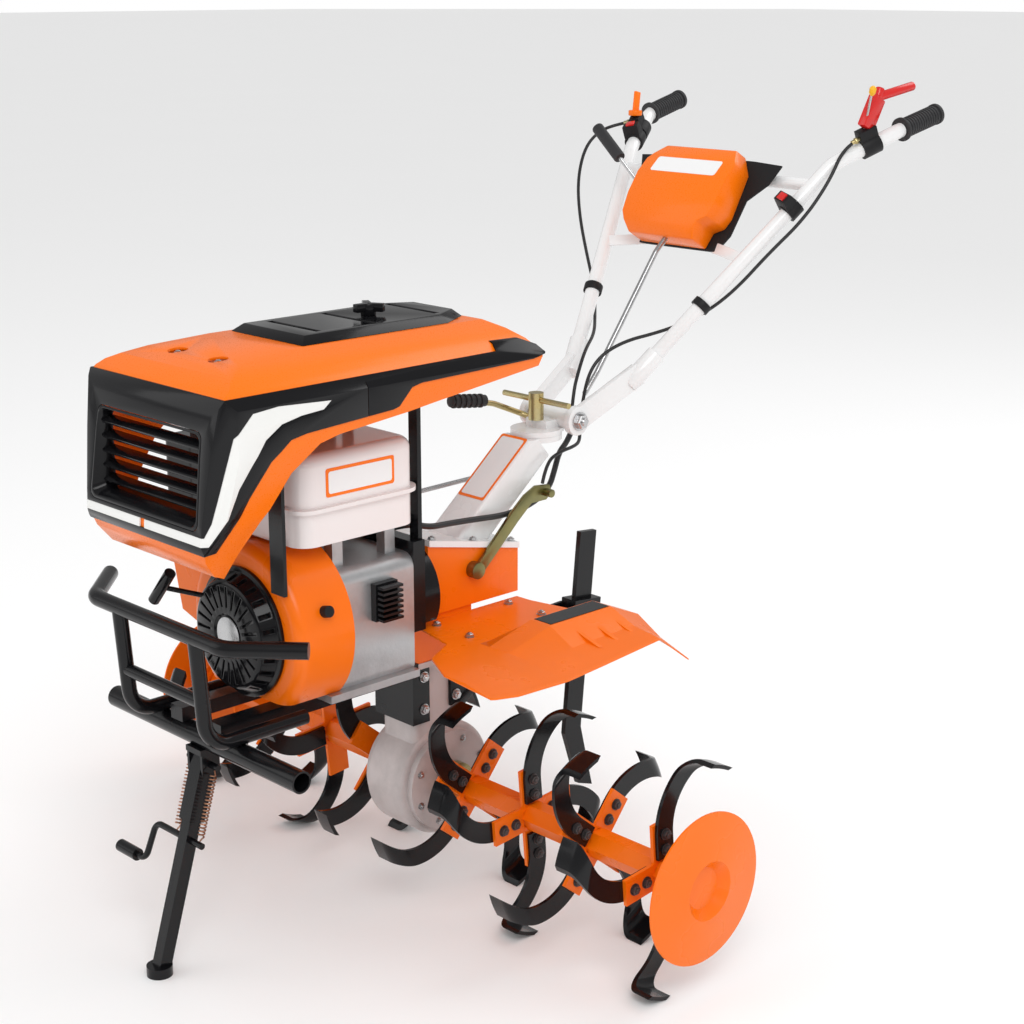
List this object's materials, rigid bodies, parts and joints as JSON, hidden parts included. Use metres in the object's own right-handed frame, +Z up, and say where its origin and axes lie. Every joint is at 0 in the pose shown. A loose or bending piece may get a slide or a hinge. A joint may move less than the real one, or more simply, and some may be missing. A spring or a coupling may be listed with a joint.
{
  "type": "two-handed power tiller with bladed rotors",
  "caption": "Walk-behind power tiller: hooded petrol engine, gearbox with two bladed rotors, front stand and adjustable handlebar.",
  "frame": {"origin": "on the floor, under the middle of the machine's length and width", "axes": "+X forward, +Y to the machine's left, +Z up"},
  "size_m": [1.5181, 1.25, 1.2505],
  "materials": {
    "cast_grey": "painted casting",
    "orange_paint": "gloss paint",
    "white_paint": "gloss paint",
    "olive_zinc": "olive zinc",
    "cast_aluminium": "as cast",
    "black_paint": "gloss paint",
    "black_plastic": "gloss moulding",
    "dark_steel": "heat-darkened",
    "tank_paint": "gloss paint",
    "orange_plastic": "gloss moulding",
    "bright_steel": "turned",
    "yellow_zinc": "yellow zinc",
    "tine_black": "gloss paint",
    "copper_spring": "coppered wire",
    "rubber_grip": "matt rubber"
  },
  "bodies": {
    "chassis": {"gearbox_housing": "cast_grey", "gearbox_covers": "cast_grey", "transmission_box": "orange_paint", "box_top_plate": "white_paint", "steering_column": "white_paint", "shift_arm": "olive_zinc", "crankcase": "cast_aluminium", "clutch_housing": "black_paint", "fan_shroud": "orange_paint", "recoil_cover": "black_plastic", "starter_grip": "black_plastic", "cylinder_head": "cast_aluminium", "muffler": "dark_steel", "air_cleaner": "black_plastic", "fuel_tank": "tank_paint", "fuel_cap": "black_plastic", "regulator": "black_paint", "frame_rails": "black_paint", "cross_tube": "black_paint", "bull_bar": "black_paint", "stand_bracket": "black_paint", "hitch_frame": "black_paint", "mudguards": "orange_paint", "hood_shell": "orange_plastic", "grille": "black_plastic", "hood_posts": "black_paint"},
    "rotor": {"output_shaft": "bright_steel", "output_flanges": "yellow_zinc", "hub_tubes": "orange_paint", "tines_left": "tine_black", "tines_right": "tine_black", "end_discs": "orange_paint"},
    "stand": {"stand_leg": "black_paint", "stand_pedal": "black_paint", "stand_springs": "copper_spring"},
    "depth_bar": {"depth_bar": "black_paint"},
    "lid": {"hood_lid": "black_plastic", "lid_knob": "black_plastic"},
    "head": {"swivel_head": "white_paint", "t_bolt": "yellow_zinc"},
    "handlebar": {"handlebar": "white_paint", "grips": "rubber_grip", "dash_cover": "orange_plastic"}
  },
  "joints": [
    {"name": "rotor_spin", "type": "hinge", "parent": "chassis", "child": "rotor", "pos_m": [0.188, 0, 0.17442], "axis": [0, 1, 0], "continuous": true},
    {"name": "stand_fold", "type": "hinge", "parent": "chassis", "child": "stand", "pos_m": [0.638, 0, 0.321], "axis": [0, 1, 0], "range_deg": [0, 70]},
    {"name": "depth_slide", "type": "slide", "parent": "chassis", "child": "depth_bar", "axis": [-0.0958, 0, 0.9954], "range_m": [0, 0.1]},
    {"name": "lid_lift", "type": "slide", "parent": "chassis", "child": "lid", "axis": [0, 0, 1], "range_m": [0, 0.08]},
    {"name": "handlebar_swivel", "type": "hinge", "parent": "chassis", "child": "head", "pos_m": [-0.066, 0, 0.718], "axis": [0, 0, 1], "range_deg": [-30, 30]},
    {"name": "handlebar_tilt", "type": "hinge", "parent": "head", "child": "handlebar", "pos_m": [-0.109, 0, 0.741], "axis": [0, 1, 0], "range_deg": [-10, 15]}
  ]
}
